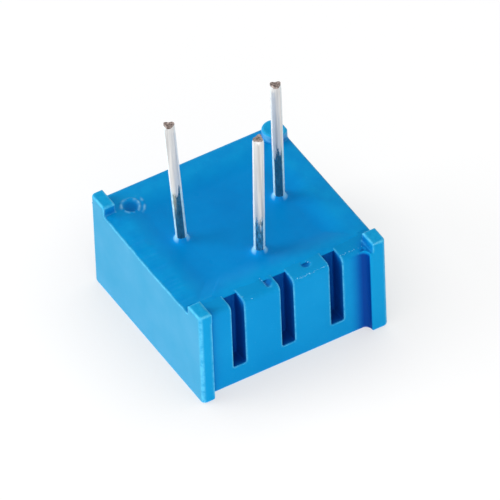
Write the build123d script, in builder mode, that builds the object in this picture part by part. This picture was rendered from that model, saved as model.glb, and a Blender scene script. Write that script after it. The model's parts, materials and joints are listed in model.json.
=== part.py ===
"""Single-turn cermet trimmer potentiometer, 9.5 mm square, with three bottom pins.

It lies on its adjuster face, so the pins stand up. Millimetres, +Z up. The origin is at the
centre of the footprint, at the bottom. +X runs along the side that has the three lead slots,
and that side faces -Y.
"""
import os
from math import atan2, cos, degrees, radians, sin

from build123d import *

os.makedirs("parts", exist_ok=True)

# Housing, outside
body_width = 9.5
wall_top = 4.70
foot_height = 0.50
half = body_width / 2
edge_round = 0.22
base_round = 0.12
front_face = -half + 0.40
left_post_end = -4.12
right_post_end = 3.93
recess_round = 0.30
front_top_round = 0.28
wall_sag = 0.08

# Lead slots in the front wall
pitch = 2.5
slot_width = 0.65
slot_row_centre = -0.09
slot_floor = 1.02
slot_back = -3.47

# Feet: how far each corner foot reaches along X and along Y
left_foot = (0.62, 1.15)
front_foot = (0.65, 1.05)
right_foot = (0.67, 0.95)
foot_chamfer = 0.06
round_foot_radius = 0.58
round_foot_place = (4.28, 4.06)

# Small marks in the front wall's top: a round pit and a V-shaped chip
pit_place = (1.24, -3.73)
pit_depth = 0.08
pit_sphere = 0.43
chip_left = -0.94
chip_right = -0.64
chip_front = -4.10
chip_back = -3.48
chip_depth = 0.10

# Housing, inside
bore_radius = 2.50
bore_depth = 1.30
bore_chamfer = 0.15
chamber_radius = 3.05
ledge = 2.70
pocket_front = -3.25
pocket_size = (7.00, 6.70)
pool_size = (8.00, 7.25)
inner_round = 0.25

# Rotor, its stops and its seal
face_inset = 0.10
rotor_radius = bore_radius - 0.05
face_chamfer = 0.12
flange_radius = 2.75
flange_bottom = bore_depth + 0.03
flange_top = 1.90
groove_radius = 1.86
groove_bottom = 0.45
groove_top = 1.10
turn_range = 310
stop_inner_radius = 2.79
stop_root_radius = chamber_radius + 0.50
stop_direction = -90
stop_play = 0.5
tab_radius = chamber_radius - 0.05
tab_direction = 90
tab_angle = 25
stop_angle = 360 - turn_range - tab_angle - 2 * stop_play
driver_width = 0.60
driver_length = 3.00
driver_depth = 0.76
arrow_base = 1.40
arrow_tip = 2.20
arrow_half_width = 0.60
arrow_depth = 0.15
seal_radii = (0.29, 0.31)
seal_gap = 0.02
seal_ring = groove_radius + seal_gap + seal_radii[0]
stake_radius = 0.20
stake_head = 0.32
stake_head_height = 0.12
stake_head_taper = 30
stake_spacing = 1.24
stake_y = -1.66

# Contact spring
spring_thickness = 0.08
spring_width = 1.96
spring_root = -2.05
spring_bend = -1.28
spring_round = 0.20
film_thickness = 0.03
contact_gap = 0.02
track_radius = 1.85
arm_spacing = 0.80
arm_width = 0.24
middle_arm_width = 0.40
arm_end_run = 0.20
arm_end_drop = 0.08

# Ceramic element and its films
substrate_thickness = 0.635
substrate_gap = 0.05
substrate_top = ledge + substrate_thickness
track_width = 0.50
track_gap_angle = 80
pad_start_angle = 22
run_radius = 2.50
run_width = 0.40
link_angle = 10
pad_radius = 0.42
hub_pad_radius = 0.50
strip_width = 0.40

# Pins: grid place, how far the tip leans off upright, and the tip's height
pin_radius = 0.255
hole_radius = pin_radius + 0.035
pin_row_y = 0.65
stub_top = 4.72
flare_length = 0.28
flare_radii = (0.31, 0.22)
pins = {
    "pin_1": ((-pitch, pin_row_y), (-0.30, 0.13), 11.55),
    "pin_2": ((0, pin_row_y - pitch), (0.15, -0.02), 11.35),
    "pin_3": ((pitch, pin_row_y), (-0.04, -0.12), 11.50),
}
pin_places = [place for place, lean, tip in pins.values()]

# Solder and sealing resin
solder_radius = 0.52
solder_height = 0.28
resin_top = 4.56
resin_lip = 0.06
resin_lip_width = 0.40
collar_rings = ((0, 0.44), (0.10, 0.32), (0.24, 0.27))
bubble_place = (-3.34, 3.55)
bubble_depth = 0.06
bubble_sphere = 0.80


def polar(radius, angle):
    """The point at a radius and an angle in degrees."""
    return (radius * cos(radians(angle)), radius * sin(radians(angle)))


def ring_sector(inner, outer, start, end, mode=Mode.ADD):
    """Draws the face between two radii and two angles, in the open sketch."""
    middle = (start + end) / 2
    with BuildLine() as outline:
        ThreePointArc(polar(outer, start), polar(outer, middle), polar(outer, end))
        Line(polar(outer, end), polar(inner, end))
        ThreePointArc(polar(inner, end), polar(inner, middle), polar(inner, start))
        Line(polar(inner, start), polar(outer, start))
    make_face(outline.edges(), mode=mode)


def spanned_rectangle(x_low, x_high, y_low, y_high):
    """Draws a rectangle between two X and two Y values, in the open sketch."""
    with Locations(((x_low + x_high) / 2, (y_low + y_high) / 2)):
        Rectangle(x_high - x_low, y_high - y_low)


def pin_point(place, lean, tip, height):
    """Where a pin's axis is, at a height above its stub."""
    share = (height - stub_top) / (tip - stub_top)
    return (place[0] + lean[0] * share, place[1] + lean[1] * share, height)


# Housing: a square tub with a bored floor, a recessed front, lead slots and four feet
with BuildPart() as housing:
    with BuildSketch():
        RectangleRounded(body_width, body_width, edge_round)
    extrude(amount=wall_top)

    # The front face stands back between its two corner posts
    with BuildSketch():
        spanned_rectangle(left_post_end, right_post_end, -half, front_face)
    extrude(amount=wall_top, mode=Mode.SUBTRACT)
    uprights = housing.edges().filter_by(Axis.Z)
    fillet(uprights.sort_by_distance((right_post_end, front_face, 0))[0], radius=recess_round)
    with BuildSketch(Plane.YZ.offset(left_post_end)):
        spanned_rectangle(
            front_face, front_face + front_top_round, wall_top - front_top_round, wall_top
        )
        with Locations((front_face + front_top_round, wall_top - front_top_round)):
            Circle(front_top_round, mode=Mode.SUBTRACT)
    extrude(amount=right_post_end - left_post_end, mode=Mode.SUBTRACT)

    # The left wall's top sags a little between its feet
    sag_start = -half + front_foot[1]
    sag_end = half - left_foot[1]
    with BuildSketch(Plane.YZ.offset(-half)):
        with BuildLine():
            Line((sag_start, wall_top), (sag_end, wall_top))
            ThreePointArc((sag_start, wall_top), (0, wall_top - wall_sag), (sag_end, wall_top))
        make_face()
    extrude(amount=half - pool_size[0] / 2, mode=Mode.SUBTRACT)

    # Feet at three corners, and a round one at the fourth
    with BuildSketch(Plane.XY.offset(wall_top)):
        spanned_rectangle(-half, -half + left_foot[0], half - left_foot[1], half)
        spanned_rectangle(-half, -half + front_foot[0], -half, -half + front_foot[1])
        spanned_rectangle(half - right_foot[0], half, -half, -half + right_foot[1])
        with Locations(round_foot_place):
            Circle(round_foot_radius)
        RectangleRounded(body_width, body_width, edge_round, mode=Mode.INTERSECT)
    extrude(amount=foot_height)
    chamfer(housing.faces().filter_by(Axis.Z).group_by(Axis.Z)[-1].edges(), length=foot_chamfer)
    fillet(housing.faces().sort_by(Axis.Z)[0].edges(), radius=base_round)

    # Lead slots, open at the top
    with BuildSketch(Plane.XY.offset(slot_floor)):
        with Locations((slot_row_centre, (front_face + slot_back) / 2)):
            with GridLocations(pitch, 1, 3, 1):
                Rectangle(slot_width, slot_back - front_face)
    extrude(amount=wall_top - slot_floor, mode=Mode.SUBTRACT)

    # Bore for the rotor, and the chamber above it with its stop
    with BuildSketch():
        Circle(bore_radius)
    extrude(amount=bore_depth, mode=Mode.SUBTRACT)
    chamfer(housing.faces().sort_by(Axis.Z)[0].inner_wires().edges(), length=bore_chamfer)
    with BuildSketch(Plane.XY.offset(bore_depth)):
        Circle(chamber_radius)
        ring_sector(
            stop_inner_radius,
            stop_root_radius,
            stop_direction - stop_angle / 2,
            stop_direction + stop_angle / 2,
            mode=Mode.SUBTRACT,
        )
    extrude(amount=flange_top - bore_depth, mode=Mode.SUBTRACT)
    with BuildSketch(Plane.XY.offset(flange_top)):
        Circle(chamber_radius)
    extrude(amount=ledge - flange_top, mode=Mode.SUBTRACT)

    # Pocket for the ceramic, and the wider pool for the resin
    with BuildSketch(Plane.XY.offset(ledge)):
        with Locations((0, pocket_front + pocket_size[1] / 2)):
            RectangleRounded(*pocket_size, inner_round)
    extrude(amount=substrate_thickness, mode=Mode.SUBTRACT)
    with BuildSketch(Plane.XY.offset(substrate_top)):
        with Locations((0, pocket_front + pool_size[1] / 2)):
            RectangleRounded(*pool_size, inner_round)
    extrude(amount=wall_top - substrate_top, mode=Mode.SUBTRACT)

    # A pit and a chip in the front wall's top
    with Locations((*pit_place, wall_top + pit_sphere - pit_depth)):
        Sphere(pit_sphere, mode=Mode.SUBTRACT)
    with BuildSketch(Plane.XZ.offset(-chip_back)):
        with BuildLine():
            Polyline(
                (chip_left, wall_top),
                (chip_right, wall_top),
                (chip_left + chip_depth, wall_top - chip_depth),
                close=True,
            )
        make_face()
    extrude(amount=chip_back - chip_front, mode=Mode.SUBTRACT)

housing.part.label = "housing"
export_step(housing.part, "parts/housing.step")


# Rotor: a grooved plug with a flange, a stop tab, a driver slot, an arrow and two stakes
with BuildPart() as rotor:
    with BuildSketch(Plane.XZ):
        with BuildLine():
            Polyline(
                (0, face_inset),
                (rotor_radius - face_chamfer, face_inset),
                (rotor_radius, face_inset + face_chamfer),
                (rotor_radius, groove_bottom),
                (groove_radius, groove_bottom),
                (groove_radius, groove_top),
                (rotor_radius, groove_top),
                (rotor_radius, flange_bottom),
                (flange_radius, flange_bottom),
                (flange_radius, flange_top),
                (0, flange_top),
                close=True,
            )
        make_face()
    revolve(axis=Axis.Z)
    with BuildSketch(Plane.XY.offset(flange_bottom)):
        ring_sector(
            groove_radius,
            tab_radius,
            tab_direction - tab_angle / 2,
            tab_direction + tab_angle / 2,
        )
    extrude(amount=flange_top - flange_bottom)
    with BuildSketch(Plane.XY.offset(face_inset)):
        Rectangle(driver_width, driver_length)
    extrude(amount=driver_depth, mode=Mode.SUBTRACT)
    with BuildSketch(Plane.XY.offset(face_inset)):
        with BuildLine():
            Polyline(
                (-arrow_half_width, arrow_base),
                (arrow_half_width, arrow_base),
                (0, arrow_tip),
                close=True,
            )
        make_face()
    extrude(amount=arrow_depth, mode=Mode.SUBTRACT)
    with BuildSketch(Plane.XY.offset(flange_top)):
        with Locations((0, stake_y)):
            with GridLocations(stake_spacing, 1, 2, 1):
                Circle(stake_radius)
    extrude(amount=spring_thickness)
    with BuildSketch(Plane.XY.offset(flange_top + spring_thickness)):
        with Locations((0, stake_y)):
            with GridLocations(stake_spacing, 1, 2, 1):
                Circle(stake_head)
    extrude(amount=stake_head_height, taper=stake_head_taper)

rotor.part.label = "rotor"
export_step(rotor.part, "parts/rotor.step")


# O-ring in the rotor's groove
with BuildPart() as o_ring:
    with BuildSketch(Plane.XZ):
        with Locations((seal_ring, (groove_bottom + groove_top) / 2)):
            Ellipse(*seal_radii)
    revolve(axis=Axis.Z)

o_ring.part.label = "o_ring"
export_step(o_ring.part, "parts/o_ring.step")


# Contact spring: one stamped sheet, staked at its foot, with three arms that rise to the films
crest = ledge - film_thickness - contact_gap - spring_thickness


def arm_profile(crest_y):
    """Draws an arm's side view, from the foot to its contact, in the open sketch on Plane.YZ."""
    with BuildLine() as outline:
        FilletPolyline(
            (spring_bend - spring_round, flange_top),
            (spring_bend, flange_top),
            (crest_y, crest),
            (crest_y + arm_end_run, crest - arm_end_drop),
            radius=spring_thickness,
        )
        offset(amount=spring_thickness, side=Side.LEFT)
    make_face(outline.edges())


with BuildPart() as contact_spring:
    with BuildSketch(Plane.XY.offset(flange_top)):
        with Locations((0, (spring_root + spring_bend) / 2)):
            RectangleRounded(spring_width, spring_bend - spring_root, spring_round)
        with Locations((0, stake_y)):
            with GridLocations(stake_spacing, 1, 2, 1):
                Circle(stake_radius, mode=Mode.SUBTRACT)
    extrude(amount=spring_thickness)
    for centre in (-arm_spacing / 2, arm_spacing / 2):
        with BuildSketch(Plane.YZ.offset(centre - arm_width / 2)):
            arm_profile(track_radius)
        extrude(amount=arm_width)
    with BuildSketch(Plane.YZ.offset(-middle_arm_width / 2)):
        arm_profile(0)
    extrude(amount=middle_arm_width)

contact_spring.part.label = "contact_spring"
export_step(contact_spring.part, "parts/contact_spring.step")


# Ceramic substrate: a thin square plate with a hole for each pin
with BuildPart() as substrate:
    with BuildSketch(Plane.XY.offset(ledge)):
        with Locations((0, pocket_front + pocket_size[1] / 2)):
            Rectangle(pocket_size[0] - 2 * substrate_gap, pocket_size[1] - 2 * substrate_gap)
    extrude(amount=substrate_thickness)
    chamfer(substrate.edges().filter_by(Axis.Z), length=inner_round)
    with Locations(*[(*place, substrate_top) for place in pin_places]):
        Hole(hole_radius)

substrate.part.label = "substrate"
export_step(substrate.part, "parts/substrate.step")


# Films printed on the ceramic's underside: the track, its two end pads and the collector
film_bottom = ledge - film_thickness
track_inner = track_radius - track_width / 2
track_outer = track_radius + track_width / 2
run_inner = run_radius - run_width / 2
run_outer = run_radius + run_width / 2
track_end = -90 + track_gap_angle / 2
pad_start = -90 + pad_start_angle

with BuildPart() as resistive_track:
    with BuildSketch(Plane.XY.offset(film_bottom)):
        ring_sector(track_inner, track_outer, track_end, 180 - track_end)
    extrude(amount=film_thickness)

resistive_track.part.label = "resistive_track"
export_step(resistive_track.part, "parts/resistive_track.step")

with BuildPart() as collector:
    with BuildSketch(Plane.XY.offset(film_bottom)):
        Circle(hub_pad_radius)
        spanned_rectangle(-strip_width / 2, strip_width / 2, pin_places[1][1], 0)
        with Locations(pin_places[1]):
            Circle(pad_radius)
            Circle(hole_radius, mode=Mode.SUBTRACT)
    extrude(amount=film_thickness)

collector.part.label = "collector"
export_step(collector.part, "parts/collector.step")

pin_angle = degrees(atan2(pin_row_y, pitch))
with BuildPart() as end_pad_3:
    with BuildSketch(Plane.XY.offset(film_bottom)):
        ring_sector(track_inner, track_outer, pad_start, track_end)
        ring_sector(track_outer, run_inner, pad_start, pad_start + link_angle)
        ring_sector(run_inner, run_outer, pad_start, pin_angle)
        with Locations(pin_places[2]):
            Circle(pad_radius)
            Circle(hole_radius, mode=Mode.SUBTRACT)
    extrude(amount=film_thickness)

with BuildPart() as end_pad_1:
    mirror(end_pad_3.part, about=Plane.YZ)

for end_pad, name in ((end_pad_1, "end_pad_1"), (end_pad_3, "end_pad_3")):
    end_pad.part.label = name
    export_step(end_pad.part, "parts/" + name + ".step")


# Pins: tinned wire, upright in the ceramic, then leaning a little, with a pinched cut tip
pin_parts = []
for name, (place, lean, tip) in pins.items():
    stub_foot = (*place, ledge)
    bend = (*place, stub_top)
    end = Vector(*pin_point(place, lean, tip, tip))
    lean_way = (end - Vector(*bend)).normalized()
    with BuildPart() as pin:
        with BuildLine():
            Polyline(stub_foot, bend, end - lean_way * flare_length)
        with BuildSketch(Plane(origin=stub_foot)):
            Circle(pin_radius)
        sweep(transition=Transition.RIGHT)
        with BuildSketch(Plane(origin=end - lean_way * flare_length, z_dir=lean_way)):
            Circle(pin_radius)
        with BuildSketch(Plane(origin=end, z_dir=lean_way)):
            Ellipse(*flare_radii)
        loft()
    pin.part.label = name
    pin_parts.append(pin.part)
    export_step(pin.part, "parts/" + name + ".step")


# Solder: a fillet round each pin on the ceramic's upper face
solder_parts = []
for number, place in enumerate(pin_places, start=1):
    with BuildPart() as solder:
        with BuildSketch(Plane(origin=(*place, 0), x_dir=(1, 0, 0), z_dir=(0, -1, 0))):
            with BuildLine():
                Polyline(
                    (pin_radius, substrate_top),
                    (solder_radius, substrate_top),
                    (pin_radius, substrate_top + solder_height),
                    close=True,
                )
            make_face()
        revolve(axis=Axis((*place, 0), (0, 0, 1)))
    solder.part.label = "solder_" + str(number)
    solder_parts.append(solder.part)
    export_step(solder.part, "parts/solder_" + str(number) + ".step")


# Sealing resin: fills the pool over the ceramic, creeps up the walls and climbs each pin
with BuildPart() as resin_seal:
    pool_middle = pocket_front + pool_size[1] / 2
    with BuildSketch(Plane.XY.offset(substrate_top)):
        with Locations((0, pool_middle)):
            RectangleRounded(*pool_size, inner_round)
    extrude(amount=resin_top + resin_lip - substrate_top)
    with BuildSketch(Plane.XY.offset(resin_top)):
        with Locations((0, pool_middle)):
            Rectangle(pool_size[0] - 2 * resin_lip_width, pool_size[1] - 2 * resin_lip_width)
    with BuildSketch(Plane.XY.offset(resin_top + resin_lip)):
        with Locations((0, pool_middle)):
            Rectangle(pool_size[0] - resin_lip, pool_size[1] - resin_lip)
    loft(mode=Mode.SUBTRACT)
    for place, lean, tip in pins.values():
        for rise, radius in collar_rings:
            with BuildSketch(Plane(origin=pin_point(place, lean, tip, resin_top + rise))):
                Circle(radius)
        loft(ruled=True)
    with Locations((*bubble_place, resin_top + bubble_sphere - bubble_depth)):
        Sphere(bubble_sphere, mode=Mode.SUBTRACT)
    for inner in pin_parts + solder_parts:
        add(inner, mode=Mode.SUBTRACT)

resin_seal.part.label = "resin_seal"
export_step(resin_seal.part, "parts/resin_seal.step")
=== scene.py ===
import json
from math import cos, exp, hypot, pi, radians, sin

import bmesh
import bpy
from mathutils import Matrix, Vector, noise


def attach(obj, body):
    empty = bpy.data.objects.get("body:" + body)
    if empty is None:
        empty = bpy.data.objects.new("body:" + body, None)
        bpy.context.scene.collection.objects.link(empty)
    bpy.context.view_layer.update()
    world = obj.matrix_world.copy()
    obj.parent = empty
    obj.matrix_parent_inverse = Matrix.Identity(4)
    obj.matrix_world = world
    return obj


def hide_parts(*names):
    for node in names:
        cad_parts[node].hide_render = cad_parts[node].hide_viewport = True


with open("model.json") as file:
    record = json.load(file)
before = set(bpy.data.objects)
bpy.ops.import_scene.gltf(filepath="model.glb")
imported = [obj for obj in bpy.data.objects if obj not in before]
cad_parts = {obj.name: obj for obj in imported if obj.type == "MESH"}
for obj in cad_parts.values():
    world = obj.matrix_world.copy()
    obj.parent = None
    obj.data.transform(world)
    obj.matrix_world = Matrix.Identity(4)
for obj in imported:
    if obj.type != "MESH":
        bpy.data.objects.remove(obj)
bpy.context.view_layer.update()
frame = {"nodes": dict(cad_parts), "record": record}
nodes = frame["nodes"]
slots = {part["node"]: part["material_slot"] for part in frame["record"]["subparts"]}
MM = 0.001

# Camera: where it stands round the part, and its framing of the square picture
CAMERA_AZIMUTH = -28.921
CAMERA_ELEVATION = 43.559
CAMERA_ROLL = -2.435
CAMERA_TARGET = Vector((0, 0, 2.3924)) * MM
CAMERA_DISTANCE = 583.70 * MM
CAMERA_SLIDE = (0.4553 * MM, 0.5626 * MM)
CAMERA_LENS = 953.04
CAMERA_CLIP = (0.01, 20)
SENSOR = 36.0

# Light, in metres, where a strength of 1 shows a colour as it is written
SKY_STRENGTH = 0.62
HORIZON_BLUR = 0.02
LAMPS = {
    "key": {"direction": (-0.84, 0.44, 0.33), "distance": 0.30, "size": 0.18, "strength": 0.66},
    "front": {"direction": (-0.35, -0.90, 0.30), "distance": 0.05, "size": 0.04, "strength": 0.35},
    "under": {"direction": (0, 0, -1), "distance": 0.40, "size": 0.15, "strength": 0.70},
}

# Floor, in metres: plain white to light, and as it is seen a glow with a painted shadow close to the part
FLOOR_SIZE = 0.8
FLOOR_ALBEDO = 0.90
FLOOR_SEEN_ALBEDO = 0.28
FLOOR_SEEN_GLOW = 0.77
CONTACT_REACH = 0.005
CONTACT_FADE = (0.5, 1.0)
CONTACT_DARK = 0.80

# Body, in millimetres like all that follows, as in the part's own drawing
BODY_HALF = 4.75
WALL_TOP = 4.70
FOOT_TOP = 5.20
WALL_SAG = 0.08
SAG_SPAN = (-3.70, 3.60)
POOL_X = 4.00
POOL_Y = (-3.25, 4.00)
POOL_FLOOR = 3.335
RESIN_LEVEL = 4.56
PIN_RADIUS = 0.255
STUB_FOOT = 2.70
STUB_TOP = 4.72
PINS = {
    "pin_1": {"place": (-2.50, 0.65), "lean": (-0.30, 0.13), "tip": 11.55},
    "pin_2": {"place": (0.00, -1.85), "lean": (0.15, -0.02), "tip": 11.35},
    "pin_3": {"place": (2.50, 0.65), "lean": (-0.04, -0.12), "tip": 11.50},
}

# Softened copies: how fine their mesh is, and what counts as joined and as flat
VOXEL = 0.040
FLAT_SHARE = 0.004
JOINED = 0.0005
FLAT_ANGLE = 0.5

# Left wall's wavy top; each wave is its depth, its pace and its layer of noise
WALL_WAVES = ((0.055, 1.3, 0), (0.028, 4.5, 9))
END_FACE_WAVES = ((0.020, 3.0, 0),)
WAVE_FROM = 4.2
WAVE_RAMP = 0.3
END_FACE_BAND = 0.15

# Moulded plastic: each pair or four of places fades a mask in, and out again, along one axis
PLASTIC_IOR = 1.12
END_FACE = (BODY_HALF - 0.05, BODY_HALF - 0.01)
END_EDGE = (BODY_HALF - 0.25, BODY_HALF - 0.20)
FOOT_SCUFFED = (FOOT_TOP - 0.12, FOOT_TOP - 0.04)
FOOT_EDGE = (FOOT_TOP - 0.15, FOOT_TOP - 0.10)
POST_FRONT = (-BODY_HALF + 0.07, -BODY_HALF + 0.03)
POST_SHARE = 0.45
SPECK_SHARE = 0.30
ROUND_FOOT_X = (3.5, 3.6)
ROUND_FOOT_Y = (3.3, 3.4)
ROUND_FOOT_SIDE = (WALL_TOP + 0.06, WALL_TOP + 0.16, FOOT_TOP - 0.10, FOOT_TOP - 0.04)
# painted shade: a dark band in the corner at the right post's root
ROOT_X = (3.00, 3.74, 3.96, 4.02)
ROOT_Y = (-BODY_HALF + 0.01, -BODY_HALF + 0.09, -4.30, -4.20)
ROOT_Z = (WALL_TOP - 0.04, WALL_TOP - 0.20)
ROOT_DARK = 0.94
ROOT_POWER = 1.6
ROOT_EDGES_X = (3.55, 3.62, 4.06, 4.12)
ROOT_EDGES_Y = (-4.10, -4.20)
# painted shade in slots and hollows, from how open each point is, bluer where darkest
SHADE_REACH = 2.0
SHADE_FADE = (0.30, 0.92)
SHADE_CURVES = ((1.0, 0.0), (1.1, 0.16), (0.7, 0.42))
# edges: partly real wear and partly painted highlight, in the open only
WEAR_HIGHLIGHT_WIDTH = 0.13
WEAR_HIGHLIGHT_FADE = (0.999, 0.93)
WEAR_HIGHLIGHT_OPEN = (0.50, 0.70)
WEAR_HIGHLIGHT_SHARE = 0.95
CORNER_FADE = (0.15, 0.45)
CORNER_SHARE = 0.62
# painted shade in two chips on the front wall's top
CHIPS = ((1.22, -3.70, 4.66), (-0.74, -3.80, 4.66))
CHIP_REACH = (0.14, 0.25)
CHIP_DARK = 0.62

# Torn flash: the lines along which its crumbs still cling to the housing
FLASH_LINES = (
    ((0.32, -4.268, 4.618), (2.04, -4.268, 4.618)),
    ((0.60, -4.290, 4.600), (1.30, -4.290, 4.600)),
    ((2.80, -4.10, 4.695), (3.86, -4.10, 4.695)),
    ((-0.95, -3.44, 4.70), (-0.91, -4.04, 4.69)),
    ((4.12, -4.72, 5.19), (4.40, -4.73, 5.19)),
    ((-4.60, 3.58, 4.66), (-4.14, 3.58, 4.69)),
    ((-1.83, -4.27, 4.618), (-1.74, -4.27, 4.618)),
    ((-2.20, -4.04, 4.70), (-2.12, -4.04, 4.70)),
    ((1.30, -3.60, 4.70), (1.46, -3.76, 4.70)),
)
CRUMB_SPACING = 0.085
CRUMB_STRAY = 0.018
CRUMB_SIZES = (0.008, 0.026)
CRUMB_LONG = 1.6
CRUMB_FLAT = 0.7
CRUMB_SHARE = 0.75
CRUMB_TURN = 6.28
CRUMB_SEED = 4

# Wire: its tin, clean above and with the blue resin's reflection painted in below, painted highlights down
# two flanks, and its nipped tip
TIN_ROUGH = (0.34, 0.22)
TIN_METAL = (0.52, 0.97)
BRIGHT_PATCH_SHARES = (0.15, 0.95)
# painted reflection of the blue resin on each wire's foot, reaching lower on the front pin
REFLECTION_TOPS = {"front": 6.65, "back": 7.60}
FRONT_PIN_Y = (-0.4, -0.8)
REFLECTION_UNEVEN = 0.55
REFLECTION_EDGE = (0.20, -0.10)
# painted highlights down each wire's two flanks
HIGHLIGHT_WAY = (0.875, -0.484, 0)
HIGHLIGHT_FLANK = (0.72, 0.87)
HIGHLIGHT_SPREAD = 0.12
HIGHLIGHT_ROUGH = 0.6
LINE_SHARE = 0.42
PIN_SIDES = 40
PIN_RINGS = 110
BEND_RADIUS = 1.5
BEND_STEPS = 5
FLARE_LENGTH = 0.30
FLARE_WIDE = 0.205
FLARE_NARROW = 0.175
FLARE_POWER = 1.6
TIP_CORNERS = 0.20
CORNER_COUNT = 3.0
RAGGED_SIZE = 0.22
RAGGED_GAIN = 0.35
CUT_DIP = 0.06
CUT_BAND = 0.05
ON_CUT = 0.0005
CUT_STEPS = ((0.80, 0.35), (0.55, 0.65), (0.30, 0.0))
WIDE_WAYS = {"pin_1": (0.86, -0.51, 0), "pin_2": (0.95, 0.31, 0), "pin_3": (0.92, -0.39, 0)}

# Resin: its creep up the walls, the film on their tops, its collars and one burst bubble
RESIN_IOR = 1.12
DUST_SHARE = 0.35
RESIN_RIPPLES = ((0.010, 0.9, 0), (0.004, 4, 1))
CREEP_REACH = 1.20
WAVE_REACH = 0.45
FILM_DEPTH = 0.018
FILM_FADE = 0.9
FILM_SIDES = 0.66
FILM_FRONT = 0.24
FILM_WAVES = ((1.0, 1.9, 3), (0.5, 6, 8))
FILM_SIDES_STRAY = 0.05
FILM_FRONT_STRAY = 0.10
FILM_FRONT_ROOM = 0.15
FILM_UNDER = 0.04
RESIN_INSET = 0.04
COLLAR_RISE = 0.26
COLLAR_REACH = 0.075
SWELL_RISE = 0.05
SWELL_REACH = 0.30
# painted highlights on each collar's two flanks
GLINT_BAND = (0.02, 0.11)
GLINT_FLANK = 0.55
GLINT_POWER = 0.7
GLINT_WAYS = {"pin_1": (0.94, -0.34), "pin_2": (0.92, -0.39), "pin_3": (0.84, -0.54)}
BUBBLE = (-3.38, 3.62)
BUBBLE_RADIUS = 0.41
BUBBLE_OUTER = 0.62
BUBBLE_SIDE = (0.93, -0.36)
BUBBLE_LIP = 0.06
BUBBLE_RIM = 0.045
BUBBLE_DEPTH = 0.10
# painted shade in the bubble's sunk middle
BUBBLE_DARK = (0.40, 0.20)
BUBBLE_SHARE = 0.75
# painted highlights on the bubble's rings
BUBBLE_GLINT = {"rim": 0.65, "outer": 0.45}
BUBBLE_PATCHES = ((1.2, 5, 5),)
UNDER_FLAT_ANGLE = 0.2
FINE_STEP = 0.025
COARSE_STEP = 0.075
FINE_REACH = 0.55
NEAREST_LINES = 0.004
POOL_EDGE_STEP = 0.01
NEVER_ZERO = 0.01

# Colours; a pair is a colour's darker and lighter patches
COLOURS = {
    "moulded": ((0.000, 0.275, 0.635), (0.004, 0.315, 0.680)),
    # painted light: end faces paler than the rest of the plastic
    "moulded_end": ((0.045, 0.335, 0.575), (0.070, 0.362, 0.605)),
    "foot_scuff": (0.010, 0.410, 0.780),
    # painted light: the posts' front faces brighter than the recess between them
    "post_front_light": (0.004, 0.370, 0.730),
    # painted highlight on the round foot's side
    "round_foot_side_highlight": (0.16, 0.56, 0.86),
    "moulded_speck": (0.10, 0.50, 0.86),
    # edges: partly real wear and partly painted highlight
    "worn_and_highlit_edge": (0.16, 0.70, 0.98),
    "torn_flash": ((0.10, 0.54, 0.88), (0.28, 0.74, 0.95)),
    "cast": ((0.000, 0.232, 0.625), (0.000, 0.276, 0.695)),
    "cast_film": (0.002, 0.325, 0.725),
    "bubble_shade": (0.000, 0.150, 0.490),
    # painted highlight on the resin
    "cast_wet": (0.32, 0.72, 0.95),
    "cast_dust": (0.12, 0.50, 0.86),
    "clean_tin": ((0.62, 0.62, 0.62), (0.76, 0.75, 0.73)),
    "die_line": (0.30, 0.31, 0.32),
    # painted reflection of the blue resin in the tin
    "tin_painted_reflection": ((0.17, 0.22, 0.22), (0.34, 0.38, 0.35)),
    "bright_tin": (0.70, 0.76, 0.76),
    # painted highlights down the wire's flanks, above and on the foot
    "upper_flank_highlight": (0.80, 0.87, 0.90),
    "wet_flux": (0.52, 0.80, 0.92),
    "cut_copper": ((0.11, 0.080, 0.070), (0.46, 0.38, 0.35)),
    "rotor_ivory": ((0.70, 0.67, 0.57), (0.80, 0.77, 0.68)),
    "seal_rubber": ((0.012, 0.012, 0.013), (0.03, 0.03, 0.032)),
    "spring_alloy": ((0.70, 0.52, 0.27), (0.85, 0.68, 0.40)),
    "fired_alumina": ((0.78, 0.77, 0.72), (0.88, 0.87, 0.84)),
    "cermet_film": ((0.015, 0.015, 0.016), (0.04, 0.038, 0.036)),
    "silver_film": ((0.55, 0.54, 0.50), (0.72, 0.71, 0.67)),
    "soft_solder": ((0.50, 0.51, 0.53), (0.68, 0.69, 0.71)),
}


# Small tools for shader and geometry trees

def add_node(tree, kind, inputs=None, **settings):
    """Adds a node; inputs maps a socket's name or number to a value or to another node's output."""
    made = tree.nodes.new(kind)
    for name, value in settings.items():
        setattr(made, name, value)
    for key, value in (inputs or {}).items():
        if isinstance(value, bpy.types.NodeSocket):
            tree.links.new(value, made.inputs[key])
        else:
            made.inputs[key].default_value = value
    return made


def calculate(tree, operation, *values):
    return add_node(tree, "ShaderNodeMath", dict(enumerate(values)), operation=operation).outputs[0]


def product(tree, first, *others):
    for other in others:
        first = calculate(tree, "MULTIPLY", first, other)
    return first


def rest_of(tree, share):
    return calculate(tree, "SUBTRACT", 1.0, share)


def vector_math(tree, operation, first, second, output="Vector"):
    key = 3 if operation == "SCALE" else 1
    inputs = {0: first, key: second}
    return add_node(tree, "ShaderNodeVectorMath", inputs, operation=operation).outputs[output]


def along_axes(tree, vector):
    return add_node(tree, "ShaderNodeSeparateXYZ", {0: vector}).outputs


def remap(tree, value, low, high, to_low=0.0, to_high=1.0):
    made = add_node(tree, "ShaderNodeMapRange", {
        "Value": value, "From Min": low, "From Max": high, "To Min": to_low, "To Max": to_high,
    })
    return made.outputs["Result"]


def past(tree, value, start, full, to_low=0.0, to_high=1.0):
    """Fades from one number to the other between two places given in millimetres."""
    return remap(tree, value, start * MM, full * MM, to_low, to_high)


def between(tree, value, start, full, fade, end):
    """1 between the two inner places, given in millimetres, and 0 outside the outer ones."""
    return product(tree, past(tree, value, start, full), past(tree, value, end, fade))


def object_point(tree):
    return add_node(tree, "ShaderNodeTexCoord").outputs["Object"]


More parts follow.
